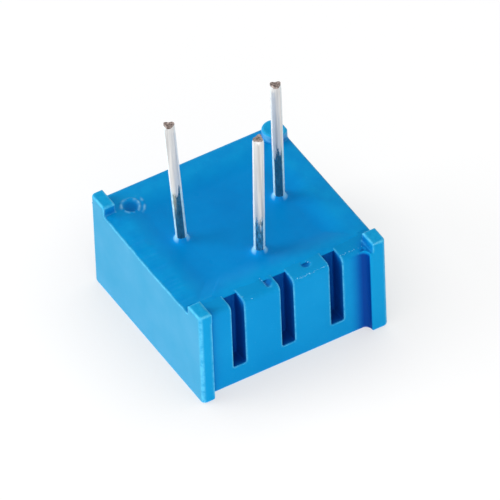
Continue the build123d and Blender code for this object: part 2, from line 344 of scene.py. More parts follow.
def clouds(tree, point, size_mm, detail=2.0, roughness=0.5, squeeze=None):
    """Noise from 0 to 1 whose blobs are about size_mm wide, and drawn out upwards by a squeeze below 1."""
    if squeeze is not None:
        point = add_node(tree, "ShaderNodeMapping", {"Vector": point, "Scale": (1, 1, squeeze)}).outputs[0]
    made = add_node(tree, "ShaderNodeTexNoise", {
        "Vector": point, "Scale": 1 / (size_mm * MM), "Detail": detail, "Roughness": roughness,
    })
    return made.outputs["Fac"]


def mix_numbers(tree, share, first, second):
    return add_node(tree, "ShaderNodeMix", {0: share, 2: first, 3: second}, data_type="FLOAT").outputs[0]


def mix_colours(tree, share, first, second, blend="MIX"):
    """Mixes two colours, each as it is written or from another node."""
    first, second = [(*colour, 1) if isinstance(colour, tuple) else colour for colour in (first, second)]
    made = add_node(tree, "ShaderNodeMix", {0: share, 6: first, 7: second},
                    data_type="RGBA", blend_type=blend)
    return made.outputs[2]


def patches(tree, point, size_mm, pair, low=0.3, high=0.7):
    """A colour's two shades in soft patches."""
    return mix_colours(tree, remap(tree, clouds(tree, point, size_mm, 3), low, high), *pair)


def uneven_gloss(tree, point, size_mm, low, high, detail=3):
    return remap(tree, clouds(tree, point, size_mm, detail), 0.2, 0.8, low, high)


def bumped(tree, height, depth_mm, strength=1.0, below=None):
    made = add_node(tree, "ShaderNodeBump", {
        "Height": height, "Distance": depth_mm * MM, "Strength": strength,
    })
    if below is not None:
        tree.links.new(below, made.inputs["Normal"])
    return made.outputs["Normal"]


def new_finish(name, **inputs):
    """Starts a material and returns it with its tree and its main shader, whose plain inputs it sets."""
    material = bpy.data.materials.new(name)
    material.use_nodes = True
    tree = material.node_tree
    shader = tree.nodes["Principled BSDF"]
    for key, value in inputs.items():
        shader.inputs[key.replace("_", " ")].default_value = value
    return material, tree, shader


def connect(tree, shader, **outputs):
    for key, value in outputs.items():
        tree.links.new(value, shader.inputs[key.replace("_", " ")])


# Moulded plastic

def edge_mask(tree, radius_mm):
    """How strongly a point lies on a sharp outer or inner edge."""
    rounded = add_node(tree, "ShaderNodeBevel", {"Radius": radius_mm * MM}, samples=6).outputs[0]
    flat = add_node(tree, "ShaderNodeNewGeometry").outputs["Normal"]
    return remap(tree, vector_math(tree, "DOT_PRODUCT", rounded, flat, "Value"), *WEAR_HIGHLIGHT_FADE)


def corner_share(tree, place):
    """How strongly a point lies on a rounded outer edge, upright or at the top of an end wall or foot."""
    normal = add_node(tree, "ShaderNodeNewGeometry").outputs["Normal"]
    unsigned = add_node(tree, "ShaderNodeVectorMath", {0: normal}, operation="ABSOLUTE").outputs[0]
    ways = along_axes(tree, unsigned)
    upright = product(tree, ways["X"], ways["Y"])
    at_end = past(tree, calculate(tree, "ABSOLUTE", place["X"]), *END_EDGE)
    end_top = product(tree, ways["X"], ways["Z"], at_end)
    sideways = calculate(tree, "MAXIMUM", ways["X"], ways["Y"])
    foot_top = product(tree, sideways, ways["Z"], past(tree, place["Z"], *FOOT_EDGE))
    strongest = calculate(tree, "MAXIMUM", upright, calculate(tree, "MAXIMUM", end_top, foot_top))
    return remap(tree, strongest, *CORNER_FADE, 0.0, CORNER_SHARE)


def open_share(tree, reach_mm):
    """1 in the open and towards 0 deep in a slot or a corner of the same piece."""
    made = add_node(tree, "ShaderNodeAmbientOcclusion", {"Distance": reach_mm * MM},
                    samples=12, only_local=True)
    return made.outputs["AO"]


def face_colours(tree, point, place, round_foot):
    """The plastic's own colour with scuffed feet and a few specks, and painted light: paler end faces,
    brighter post fronts and a highlight on the round foot's side.
    """
    body = patches(tree, point, 3.5, COLOURS["moulded"])
    # painted light: both end faces paler
    endways = past(tree, calculate(tree, "ABSOLUTE", place["X"]), *END_FACE)
    body = mix_colours(tree, endways, body, patches(tree, point, 2.2, COLOURS["moulded_end"]))
    scuffs = remap(tree, clouds(tree, point, 0.16, 4, 0.7), 0.35, 0.60, 0.25, 0.85)
    scuffed = product(tree, past(tree, place["Z"], *FOOT_SCUFFED), scuffs)
    body = mix_colours(tree, scuffed, body, COLOURS["foot_scuff"])
    # painted light: brighter front faces on the posts
    post_front_light = past(tree, place["Y"], *POST_FRONT, 0.0, POST_SHARE)
    body = mix_colours(tree, post_front_light, body, COLOURS["post_front_light"])
    # painted highlight in patches on the round foot's side
    highlight_patches = remap(tree, clouds(tree, point, 0.25, 3, 0.6), 0.3, 0.6, 0.3, 0.9)
    side = product(tree, between(tree, place["Z"], *ROUND_FOOT_SIDE), highlight_patches)
    body = mix_colours(tree, product(tree, round_foot, side), body, COLOURS["round_foot_side_highlight"])
    specks = remap(tree, clouds(tree, point, 0.07, 1), 0.70, 0.80)
    return mix_colours(tree, product(tree, specks, SPECK_SHARE), body, COLOURS["moulded_speck"])


def edge_wear_and_highlight(tree, point, place, round_foot, openness):
    """Patchy wear and painted highlights along the open edges, and none at the right post's root."""
    corners = product(tree, corner_share(tree, place), rest_of(tree, round_foot))
    edges = calculate(tree, "MAXIMUM", edge_mask(tree, WEAR_HIGHLIGHT_WIDTH), corners)
    uneven = remap(tree, clouds(tree, point, 0.30, 3, 0.7), 0.32, 0.58, 0.25, 1.0)
    in_root = product(tree, between(tree, place["X"], *ROOT_EDGES_X), past(tree, place["Y"], *ROOT_EDGES_Y))
    in_open = remap(tree, openness, *WEAR_HIGHLIGHT_OPEN)
    return product(tree, edges, uneven, rest_of(tree, in_root), in_open, WEAR_HIGHLIGHT_SHARE)


def hollow_shade(tree, point, place, openness):
    """Painted shade: the colour that darkens slots, two chips and the right post's root, towards a deeper
    blue.
    """
    for spot in CHIPS:
        away = vector_math(tree, "DISTANCE", point, Vector(spot) * MM, "Value")
        openness = product(tree, openness, past(tree, away, *CHIP_REACH, CHIP_DARK, 1.0))
    root = product(tree, between(tree, place["X"], *ROOT_X), between(tree, place["Y"], *ROOT_Y),
                   past(tree, place["Z"], *ROOT_Z))
    root = product(tree, calculate(tree, "POWER", root, ROOT_POWER), ROOT_DARK)
    shade = product(tree, remap(tree, openness, *SHADE_FADE), rest_of(tree, root))
    channels = {}
    for number, (power, deepest) in enumerate(SHADE_CURVES):
        channels[number] = remap(tree, calculate(tree, "POWER", shade, power), 0.0, 1.0, deepest, 1.0)
    return add_node(tree, "ShaderNodeCombineColor", channels).outputs[0]


def moulded_blue():
    material, tree, shader = new_finish("moulded_blue", IOR=PLASTIC_IOR)
    point = object_point(tree)
    place = along_axes(tree, point)
    round_foot = product(tree, past(tree, place["X"], *ROUND_FOOT_X), past(tree, place["Y"], *ROUND_FOOT_Y))
    openness = open_share(tree, SHADE_REACH)
    body = face_colours(tree, point, place, round_foot)
    # real wear and painted highlights along the edges
    worn_and_highlit = edge_wear_and_highlight(tree, point, place, round_foot, openness)
    body = mix_colours(tree, worn_and_highlit, body, COLOURS["worn_and_highlit_edge"])
    # painted shade multiplied into the plastic's colour
    body = mix_colours(tree, 1.0, body, hollow_shade(tree, point, place, openness), "MULTIPLY")
    rough = uneven_gloss(tree, point, 0.8, 0.36, 0.52, 4)
    grain = bumped(tree, clouds(tree, point, 0.05, 3), 0.003, 0.40)
    waves = bumped(tree, clouds(tree, point, 1.2, 2), 0.02, 0.20, grain)
    connect(tree, shader, Base_Color=body, Roughness=rough, Normal=waves)
    return material


# Cast resin

def cast_resin():
    """Blue resin: film near the walls, painted shade in its burst bubble, dust, and painted highlights on
    the collars by the wires and round the bubble.
    """
    material, tree, shader = new_finish("cast_resin", IOR=RESIN_IOR)
    point = object_point(tree)
    body = patches(tree, point, 2.6, COLOURS["cast"], 0.32, 0.68)
    film = add_node(tree, "ShaderNodeAttribute", attribute_name="film").outputs["Fac"]
    film = product(tree, film, remap(tree, clouds(tree, point, 0.9, 4, 0.6), 0.35, 0.65, 0.35, 1.0))
    body = mix_colours(tree, film, body, COLOURS["cast_film"])
    # painted shade darkens the bubble's sunk middle
    away = vector_math(tree, "DISTANCE", point, Vector((*BUBBLE, RESIN_LEVEL)) * MM, "Value")
    sunk = past(tree, away, *BUBBLE_DARK, 0.0, BUBBLE_SHARE)
    body = mix_colours(tree, sunk, body, COLOURS["bubble_shade"])
    # painted highlights on the collars and round the bubble
    wet = add_node(tree, "ShaderNodeAttribute", attribute_name="wet").outputs["Fac"]
    body = mix_colours(tree, wet, body, COLOURS["cast_wet"])
    dust = remap(tree, clouds(tree, point, 0.06, 1), 0.74, 0.82)
    body = mix_colours(tree, product(tree, dust, DUST_SHARE), body, COLOURS["cast_dust"])
    rough = uneven_gloss(tree, point, 1.0, 0.26, 0.40)
    ripples = bumped(tree, clouds(tree, point, 0.5, 2), 0.012, 0.25)
    connect(tree, shader, Base_Color=body, Roughness=rough, Normal=ripples)
    return material


# Wire

def resin_reflection_share(tree, point, place, front):
    """1 on the wire's foot, where the blue resin's reflection is painted into the tin; its upper edge runs
    up and down in drawn-out tongues.
    """
    top = remap(tree, front, 0.0, 1.0, REFLECTION_TOPS["back"] * MM, REFLECTION_TOPS["front"] * MM)
    tongues = clouds(tree, point, 0.13, 3, 0.6, squeeze=0.12)
    uneven = remap(tree, tongues, 0.3, 0.7, -REFLECTION_UNEVEN * MM, REFLECTION_UNEVEN * MM)
    above = calculate(tree, "SUBTRACT", calculate(tree, "ADD", place["Z"], uneven), top)
    return past(tree, above, *REFLECTION_EDGE)


def flank_highlight_share(tree, point, resin_reflection):
    """1 on the wire's two flanks, where a highlight is painted, and wider on the foot with the painted
    reflection.
    """
    around = add_node(tree, "ShaderNodeTexCoord").outputs["Normal"]
    flank = calculate(tree, "ABSOLUTE", vector_math(tree, "DOT_PRODUCT", around, HIGHLIGHT_WAY, "Value"))
    flank = calculate(tree, "ADD", flank, product(tree, resin_reflection, HIGHLIGHT_SPREAD))
    patchy = remap(tree, clouds(tree, point, 0.22, 3), 0.25, 0.55, 0.55, 0.95)
    return product(tree, remap(tree, flank, *HIGHLIGHT_FLANK), patchy)


def tinned_wire():
    """Dull tin above, the blue resin's reflection painted into the tin below, and painted highlights down
    the wire's two flanks.
    """
    material, tree, shader = new_finish("tinned_wire")
    point = object_point(tree)
    place = along_axes(tree, point)
    front = past(tree, place["Y"], *FRONT_PIN_Y)
    # painted reflection of the blue resin, with brighter patches of tin in it
    resin_reflection = resin_reflection_share(tree, point, place, front)
    # painted highlights down the two flanks
    flank_highlight = flank_highlight_share(tree, point, resin_reflection)
    streaks = clouds(tree, point, 0.09, 2, 0.5, squeeze=0.05)
    clean = mix_colours(tree, remap(tree, streaks, 0.3, 0.7), *COLOURS["clean_tin"])
    lines = remap(tree, clouds(tree, point, 0.16, 2, 0.6, squeeze=0.012), 0.54, 0.64, 0.0, LINE_SHARE)
    clean = mix_colours(tree, lines, clean, COLOURS["die_line"])
    bright_patches = remap(tree, clouds(tree, point, 0.10, 3, 0.6, squeeze=0.30), 0.40, 0.60)
    bright_patches = product(tree, bright_patches, remap(tree, front, 0.0, 1.0, *BRIGHT_PATCH_SHARES))
    reflected_tin = patches(tree, point, 0.25, COLOURS["tin_painted_reflection"])
    reflected_tin = mix_colours(tree, bright_patches, reflected_tin, COLOURS["bright_tin"])
    body = mix_colours(tree, resin_reflection, clean, reflected_tin)
    # the painted highlights' colour, paler above than on the foot
    pale = mix_colours(tree, resin_reflection, COLOURS["upper_flank_highlight"], COLOURS["wet_flux"])
    body = mix_colours(tree, flank_highlight, body, pale)
    rough = mix_numbers(tree, flank_highlight, remap(tree, resin_reflection, 0.0, 1.0, *TIN_ROUGH), HIGHLIGHT_ROUGH)
    metal = product(tree, rest_of(tree, flank_highlight), remap(tree, resin_reflection, 0.0, 1.0, *TIN_METAL))
    grain = bumped(tree, streaks, 0.001, 0.10)
    connect(tree, shader, Base_Color=body, Roughness=rough, Metallic=metal, Normal=grain)
    return material


def cut_copper():
    material, tree, shader = new_finish("cut_copper", Metallic=0.8)
    point = object_point(tree)
    body = patches(tree, point, 0.12, COLOURS["cut_copper"], 0.35, 0.65)
    rough = uneven_gloss(tree, point, 0.06, 0.35, 0.6, 2)
    torn = bumped(tree, clouds(tree, point, 0.07, 3), 0.02, 0.6)
    connect(tree, shader, Base_Color=body, Roughness=rough, Normal=torn)
    return material


# Other finishes

def plain_finish(name, patch_mm, roughness, metallic=0.0, bump_mm=0.005, grain_mm=0.06):
    """A finish of two close colours in soft patches, with a fine grain."""
    material, tree, shader = new_finish(name, Metallic=metallic)
    point = object_point(tree)
    body = patches(tree, point, patch_mm, COLOURS[name])
    rough = uneven_gloss(tree, point, patch_mm / 3, *roughness)
    grain = bumped(tree, clouds(tree, point, grain_mm, 3), bump_mm, 0.5)
    connect(tree, shader, Base_Color=body, Roughness=rough, Normal=grain)
    return material


def make_finishes():
    """One finish for each material slot, and two more that belong to scene pieces alone."""
    return {
        "housing_plastic": moulded_blue(),
        "sealing_resin": cast_resin(),
        "tinned_wire": tinned_wire(),
        "rotor_plastic": plain_finish("rotor_ivory", 1.2, (0.35, 0.5)),
        "seal_rubber": plain_finish("seal_rubber", 0.5, (0.5, 0.7)),
        "spring_alloy": plain_finish("spring_alloy", 0.6, (0.2, 0.35), 1.0, 0.003, 0.04),
        "alumina": plain_finish("fired_alumina", 0.7, (0.55, 0.75)),
        "resistive_film": plain_finish("cermet_film", 0.3, (0.3, 0.5), 0.0, 0.006, 0.04),
        "conductor_film": plain_finish("silver_film", 0.4, (0.3, 0.5), 1.0, 0.004, 0.05),
        "solder": plain_finish("soft_solder", 0.3, (0.25, 0.45), 1.0, 0.008, 0.08),
        "cut_copper": cut_copper(),
        "torn_flash": plain_finish("torn_flash", 0.1, (0.4, 0.6)),
    }


# Stage: camera, sky, lamps and floor

def link_object(name, data):
    made = bpy.data.objects.new(name, data)
    bpy.context.scene.collection.objects.link(made)
    return made


def make_camera():
    azimuth = radians(CAMERA_AZIMUTH)
    elevation = radians(CAMERA_ELEVATION)
    roll = radians(CAMERA_ROLL)
    back = Vector((sin(azimuth) * cos(elevation), -cos(azimuth) * cos(elevation), sin(elevation)))
    level_right = Vector((cos(azimuth), sin(azimuth), 0))
    level_up = back.cross(level_right)
    right = level_right * cos(roll) + level_up * sin(roll)
    up = level_up * cos(roll) - level_right * sin(roll)
    place = CAMERA_TARGET + back * CAMERA_DISTANCE + right * CAMERA_SLIDE[0] + up * CAMERA_SLIDE[1]
    camera = bpy.data.cameras.new("camera")
    camera.lens = CAMERA_LENS
    camera.sensor_width = SENSOR
    camera.clip_start, camera.clip_end = CAMERA_CLIP
    eye = link_object("camera", camera)
    eye.matrix_world = Matrix.Translation(place) @ Matrix((right, up, back)).transposed().to_4x4()
    bpy.context.scene.camera = eye


def seen_rays(tree):
    """1 for rays that show the stage: straight from the camera, in gloss or through glass."""
    path = add_node(tree, "ShaderNodeLightPath")
    seen = calculate(tree, "MAXIMUM", path.outputs["Is Camera Ray"], path.outputs["Is Glossy Ray"])
    return calculate(tree, "MAXIMUM", seen, path.outputs["Is Transmission Ray"])


def make_sky():
    world = bpy.data.worlds.new("studio")
    bpy.context.scene.world = world
    world.use_nodes = True
    tree = world.node_tree
    background = tree.nodes["Background"]
    background.inputs["Color"].default_value = (1, 1, 1, 1)
    up = along_axes(tree, object_point(tree))["Z"]
    overhead = remap(tree, up, -HORIZON_BLUR, HORIZON_BLUR, 0.0, SKY_STRENGTH)
    tree.links.new(mix_numbers(tree, seen_rays(tree), overhead, 1.0), background.inputs["Strength"])


def make_lamp(name, direction, distance, size, strength):
    """An area lamp that gives the part a light of that strength from that side."""
    lamp = bpy.data.lights.new(name, "AREA")
    lamp.shape = "SQUARE"
    lamp.size = size
    lamp.energy = strength * pi * pi * distance ** 2
    holder = link_object(name, lamp)
    aim = Vector(direction).normalized()
    holder.location = aim * distance
    holder.rotation_mode = "QUATERNION"
    holder.rotation_quaternion = aim.to_track_quat("Z", "Y")


def white_paper():
    """A sheet that is clear from below and to shadow rays, and seen as white with a painted shadow close to
    the part.
    """
    material = bpy.data.materials.new("white_paper")
    material.use_nodes = True
    tree = material.node_tree
    tree.nodes.clear()
    plain = add_node(tree, "ShaderNodeBsdfDiffuse", {"Color": (FLOOR_ALBEDO,) * 3 + (1,)})
    seen = add_node(tree, "ShaderNodeBsdfDiffuse", {"Color": (FLOOR_SEEN_ALBEDO,) * 3 + (1,)})
    # painted shadow: the seen glow darkens where the part closes in round the floor
    beside = add_node(tree, "ShaderNodeAmbientOcclusion", {"Distance": CONTACT_REACH}, samples=16)
    darkest = CONTACT_DARK * FLOOR_SEEN_GLOW
    strength = remap(tree, beside.outputs["AO"], *CONTACT_FADE, darkest, FLOOR_SEEN_GLOW)
    glow = add_node(tree, "ShaderNodeEmission", {"Strength": strength})
    bright = add_node(tree, "ShaderNodeAddShader", {0: seen.outputs[0], 1: glow.outputs[0]})
    front = add_node(tree, "ShaderNodeMixShader", {
        0: seen_rays(tree), 1: plain.outputs[0], 2: bright.outputs[0],
    })
    clear = add_node(tree, "ShaderNodeBsdfTransparent")
    back = add_node(tree, "ShaderNodeNewGeometry").outputs["Backfacing"]
    shadow = add_node(tree, "ShaderNodeLightPath").outputs["Is Shadow Ray"]
    open_way = calculate(tree, "MAXIMUM", back, shadow)
    mixed = add_node(tree, "ShaderNodeMixShader", {0: open_way, 1: front.outputs[0], 2: clear.outputs[0]})
    end = add_node(tree, "ShaderNodeOutputMaterial")
    tree.links.new(mixed.outputs[0], end.inputs["Surface"])
    return material


def make_floor():
    mesh = bpy.data.meshes.new("floor")
    far = FLOOR_SIZE
    mesh.from_pydata([(-far, -far, 0), (far, -far, 0), (far, far, 0), (-far, far, 0)], [], [(0, 1, 2, 3)])
    mesh.materials.append(white_paper())
    link_object("floor", mesh)


# Ways to make a piece

def built_mesh(piece):
    """The plain mesh that a piece's modifiers make of it."""
    graph = bpy.context.evaluated_depsgraph_get()
    return bpy.data.meshes.new_from_object(piece.evaluated_get(graph), depsgraph=graph)


def baked(piece):
    """Turns a piece's modifiers into plain mesh."""
    mesh = built_mesh(piece)
    piece.modifiers.clear()
    old = piece.data
    piece.data = mesh
    bpy.data.meshes.remove(old)
    return piece


def settle(piece, body, slot, *replaced):
    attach(piece, body)
    if replaced:
        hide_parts(*replaced)


def smooth(mesh):
    for face in mesh.polygons:
        face.use_smooth = True


def merged_mesh(source):
    """A copy of a CAD node's mesh with its corners joined and its flat faces made whole."""
    work = bmesh.new()
    work.from_mesh(nodes[source].data)
    bmesh.ops.remove_doubles(work, verts=work.verts, dist=JOINED * MM)
    bmesh.ops.dissolve_limit(work, angle_limit=radians(FLAT_ANGLE), verts=work.verts, edges=work.edges)
    mesh = bpy.data.meshes.new(source)
    work.to_mesh(mesh)
    work.free()
    return mesh


def softened_copy(name, source, finish):
    """A copy of a node with its edges rounded a hair, as moulding leaves them."""
    piece = link_object(name, merged_mesh(source))
    piece.data.materials.clear()
    piece.data.materials.append(finish)
    remesh = piece.modifiers.new("even_mesh", "REMESH")
    remesh.mode = "VOXEL"
    remesh.voxel_size = VOXEL * MM
    remesh.adaptivity = FLAT_SHARE * MM
    baked(piece)
    smooth(piece.data)
    shading = piece.modifiers.new("shading", "WEIGHTED_NORMAL")
    shading.keep_sharp = False
    return baked(piece)


def start_tree(name, **sockets):
    """Starts a geometry tree with the named inputs, and returns it with what it is given."""
    tree = bpy.data.node_groups.new(name, "GeometryNodeTree")
    face = tree.interface
    face.new_socket("Geometry", in_out="OUTPUT", socket_type="NodeSocketGeometry")
    face.new_socket("Geometry", in_out="INPUT", socket_type="NodeSocketGeometry")
    for socket, kind in sockets.items():
        face.new_socket(socket.replace("_", " "), in_out="INPUT", socket_type="NodeSocket" + kind)
    return tree, tree.nodes.new("NodeGroupInput").outputs


def end_tree(tree, result):
    end = tree.nodes.new("NodeGroupOutput")
    tree.links.new(result, end.inputs[0])
    return tree


def set_inputs(modifier, **values):
    """Sets a tree's named inputs on a modifier, by each socket's identifier."""
    for item in modifier.node_group.interface.items_tree:
        key = item.name.replace(" ", "_")
        if item.in_out == "INPUT" and key in values:
            modifier[item.identifier] = values[key]


def grown_piece(name, lines, tree, **inputs):
    """Grows a piece by a geometry tree along straight lines, given by their stops in millimetres."""
    path = bpy.data.curves.new(name, "CURVE")
    path.dimensions = "3D"
    for stops in lines:
        line = path.splines.new("POLY")
        line.points.add(len(stops) - 1)
        for point, stop in zip(line.points, stops):
            point.co = (*(Vector(stop) * MM), 1)
    guide = link_object(name + "_path", path)
    grower = guide.modifiers.new(tree.name, "NODES")
    grower.node_group = tree
    set_inputs(grower, **inputs)
    mesh = built_mesh(guide)
    bpy.data.objects.remove(guide)
    return link_object(name, mesh)


# Housing and rotor

def rippled(x, y, waves):
    """The sum of some waves of noise at a place."""
    return sum(depth * noise.noise(Vector((x * pace, y * pace, layer))) for depth, pace, layer in waves)


def along_left_wall(y):
    """-1 at the front end of the left wall's sag, 1 at its back end."""
    low, high = SAG_SPAN
    return (2 * y - low - high) / (high - low)


def wall_wave(y):
    """How far the left wall's top strays from its smooth line."""
    return max(0.0, 1 - along_left_wall(y) ** 4) * rippled(0, y, WALL_WAVES)


def make_housing(finishes):
    piece = softened_copy("housing_shell", "housing", finishes["housing_plastic"])
    for vertex in piece.data.vertices:
        x, y, z = vertex.co / MM
        if x < -POOL_X and SAG_SPAN[0] < y < SAG_SPAN[1] and z > WAVE_FROM:
            share = min(1.0, (z - WAVE_FROM) / WAVE_RAMP)
            vertex.co.z += wall_wave(y) * share * MM
            if x < END_FACE_BAND - BODY_HALF:
                vertex.co.x += rippled(1, y, END_FACE_WAVES) * share * MM
    settle(piece, "housing", slots["housing"], "housing")


def make_rotor(finishes):
    piece = softened_copy("rotor_plug", "rotor", finishes["rotor_plastic"])
    settle(piece, "rotor", slots["rotor"], "rotor")


# Pins: one tree turns each wire's path into a drawn wire with a nipped tip

def below(tree, value, limit):
    made = add_node(tree, "FunctionNodeCompare", {0: value, 1: limit},
                    data_type="FLOAT", operation="LESS_THAN")
    return made.outputs[0]


def stored(tree, geometry, name, value, kind):
    made = add_node(tree, "GeometryNodeStoreNamedAttribute", {
        "Geometry": geometry, "Name": name, "Value": value,
    }, data_type=kind, domain="POINT")
    return made.outputs[0]


def named(tree, name, kind):
    return add_node(tree, "GeometryNodeInputNamedAttribute", {"Name": name}, data_type=kind).outputs[0]


def drawn_wire(tree, given):
    """A round wire along the bent path, each of whose points knows the axis and how far the tip is."""
    bent = add_node(tree, "GeometryNodeFilletCurve", {
        "Curve": given["Geometry"], "Radius": given["Bend Radius"],
        "Count": BEND_STEPS, "Limit Radius": True,
    }, mode="POLY")
    rings = add_node(tree, "GeometryNodeResampleCurve", {"Curve": bent.outputs[0], "Count": given["Rings"]},
                     mode="COUNT")
    along = add_node(tree, "GeometryNodeSplineParameter").outputs["Length"]
    whole = add_node(tree, "GeometryNodeSplineLength").outputs["Length"]
    centre = add_node(tree, "GeometryNodeInputPosition").outputs[0]
    kept = stored(tree, rings.outputs[0], "from_tip", calculate(tree, "SUBTRACT", whole, along), "FLOAT")
    placed = stored(tree, kept, "axis_point", centre, "FLOAT_VECTOR")
    section = add_node(tree, "GeometryNodeCurvePrimitiveCircle", {
        "Resolution": PIN_SIDES, "Radius": given["Wire Radius"],
    })
    wire = add_node(tree, "GeometryNodeCurveToMesh", {
        "Curve": placed, "Profile Curve": section.outputs[0], "Fill Caps": True,
    })
    return wire.outputs[0]


def ragged_rim(tree, given, position, radial):
    """How far the tip's rim strays from its oval, as a share: ragged, with a few blunt corners."""
    ragged = add_node(tree, "ShaderNodeTexNoise", {
        "Vector": position, "W": given["Seed"], "Scale": 1 / (RAGGED_SIZE * MM), "Detail": 2.0,
    }, noise_dimensions="4D").outputs["Fac"]
    ragged = calculate(tree, "MULTIPLY_ADD", ragged, RAGGED_GAIN, 1 - RAGGED_GAIN / 2)
    sideways = vector_math(tree, "CROSS_PRODUCT", (0, 0, 1), given["Wide Way"])
    turn = calculate(tree, "ARCTAN2", vector_math(tree, "DOT_PRODUCT", radial, sideways, "Value"),
                     vector_math(tree, "DOT_PRODUCT", radial, given["Wide Way"], "Value"))
    corners = calculate(tree, "SINE", product(tree, turn, CORNER_COUNT))
    ragged = calculate(tree, "ADD", ragged, product(tree, given["Corners"], corners))
    return calculate(tree, "SUBTRACT", ragged, 1.0)


def flared(tree, given, part, flare, share):
    """The outward step of one part of the wire's radius, towards the flare's own radius at the tip."""
    gain = calculate(tree, "SUBTRACT", calculate(tree, "DIVIDE", flare, given["Wire Radius"]), 1.0)
    return vector_math(tree, "SCALE", part, product(tree, gain, share))


def nipped_tip(tree, given, wire, from_tip):
    """Spreads the tip one way and narrows it the other, with a ragged rim."""
    position = add_node(tree, "GeometryNodeInputPosition").outputs[0]
    radial = vector_math(tree, "SUBTRACT", position, named(tree, "axis_point", "FLOAT_VECTOR"))
    share = calculate(tree, "SUBTRACT", 1.0, calculate(tree, "DIVIDE", from_tip, given["Flare Length"]))
    share = add_node(tree, "ShaderNodeClamp", {"Value": share}).outputs[0]
    share = calculate(tree, "POWER", share, FLARE_POWER)
    across = vector_math(tree, "DOT_PRODUCT", radial, given["Wide Way"], "Value")
    wide_part = vector_math(tree, "SCALE", given["Wide Way"], across)
    narrow_part = vector_math(tree, "SUBTRACT", radial, wide_part)
    spread = vector_math(tree, "ADD", flared(tree, given, wide_part, given["Flare Wide"], share),
                         flared(tree, given, narrow_part, given["Flare Narrow"], share))
    rim = ragged_rim(tree, given, position, radial)
    uneven = vector_math(tree, "SCALE", radial, product(tree, share, rim))
    shaped = add_node(tree, "GeometryNodeSetPosition", {
        "Geometry": wire, "Offset": vector_math(tree, "ADD", spread, uneven),
    })
    return shaped.outputs[0]


def sunk_cut(tree, given, surface, from_tip):
    """Steps the cut face in and sinks it, as nippers leave it."""
    top = below(tree, from_tip, ON_CUT * MM)
    for shrink, sink in CUT_STEPS:
        raised = add_node(tree, "GeometryNodeExtrudeMesh", {
            "Mesh": surface, "Selection": top, "Offset Scale": 0.0, "Individual": False,
        }, mode="FACES")
        scaled = add_node(tree, "GeometryNodeScaleElements", {
            "Geometry": raised.outputs["Mesh"], "Selection": raised.outputs["Top"], "Scale": shrink,
        }, domain="FACE")
        depth = product(tree, given["Cut Dip"], -sink)
        down = add_node(tree, "ShaderNodeCombineXYZ", {2: depth}).outputs[0]
        sunk = add_node(tree, "GeometryNodeSetPosition", {
            "Geometry": scaled.outputs[0], "Selection": raised.outputs["Top"], "Offset": down,
        })
        surface, top = sunk.outputs[0], raised.outputs["Top"]
    return surface


def pin_tree():
    tree, given = start_tree(
        "nipped_wire", Wire_Radius="Float", Bend_Radius="Float", Flare_Length="Float",
        Flare_Wide="Float", Flare_Narrow="Float", Corners="Float", Cut_Dip="Float",
        Wide_Way="Vector", Rings="Int", Seed="Float", Wire="Material", Cut="Material")
    wire = drawn_wire(tree, given)
    from_tip = named(tree, "from_tip", "FLOAT")
    surface = sunk_cut(tree, given, nipped_tip(tree, given, wire, from_tip), from_tip)
    smoothed = add_node(tree, "GeometryNodeSetShadeSmooth", {"Geometry": surface})
    whole_piece = add_node(tree, "GeometryNodeRealizeInstances", {"Geometry": smoothed.outputs[0]})
    wired = add_node(tree, "GeometryNodeSetMaterial", {
        "Geometry": whole_piece.outputs[0], "Material": given["Wire"],
    })
    cut = add_node(tree, "GeometryNodeSetMaterial", {
        "Geometry": wired.outputs[0], "Material": given["Cut"],
        "Selection": below(tree, from_tip, CUT_BAND * MM),
    })
    return end_tree(tree, cut.outputs[0])


def make_pins(finishes):
    tree = pin_tree()
    for number, (name, pin) in enumerate(PINS.items()):
        x, y = pin["place"]
        tip = (x + pin["lean"][0], y + pin["lean"][1], pin["tip"])
        stops = ((x, y, STUB_FOOT), (x, y, STUB_TOP), tip)
        piece = grown_piece(
            "wire_" + name, (stops,), tree, Wire_Radius=PIN_RADIUS * MM, Bend_Radius=BEND_RADIUS * MM,
            Flare_Length=FLARE_LENGTH * MM, Flare_Wide=FLARE_WIDE * MM, Flare_Narrow=FLARE_NARROW * MM,
            Corners=TIP_CORNERS, Cut_Dip=CUT_DIP * MM, Wide_Way=WIDE_WAYS[name], Rings=PIN_RINGS,
            Seed=float(number), Wire=finishes["tinned_wire"], Cut=finishes["cut_copper"])
        settle(piece, "housing", slots[name], name)


# Resin: a poured surface that creeps up the walls, wets their tops and climbs each pin

def wall_level(x, y, waves=1.0):
    """Height of the walls' top, with the left wall's sag and that share of its wavy moulding."""
    low, high = SAG_SPAN
    if x > -POOL_X or not low < y < high:
        return WALL_TOP
    share = along_left_wall(y)
    return WALL_TOP - WALL_SAG * (1 - share * share) + waves * wall_wave(y)


def outside_pool(x, y):
    """Distance outside the pool's edge; negative inside it."""
    across = abs(x) - POOL_X
    along = max(POOL_Y[0] - y, y - POOL_Y[1])
    if across > 0 and along > 0:
        return hypot(across, along)
    return max(across, along)


def film_width(x, y):
    """How far the resin wets the wall's top, by side, unevenly."""
    wave = rippled(x, y, FILM_WAVES)
    if y < POOL_Y[0]:
        return FILM_FRONT + FILM_FRONT_STRAY * wave
    return FILM_SIDES + FILM_SIDES_STRAY * wave


def round_bubble(x, y):
    """Distance from the bubble's centre, and how far a place lies to its ringed side, from -1 to 1."""
    across, along = x - BUBBLE[0], y - BUBBLE[1]
    away = hypot(across, along)
    return away, (across * BUBBLE_SIDE[0] + along * BUBBLE_SIDE[1]) / max(away, NEVER_ZERO)


def on_ring(away, radius):
    """1 on a ring round the bubble, and fading off it."""
    return exp(-((away - radius) / BUBBLE_LIP) ** 2)


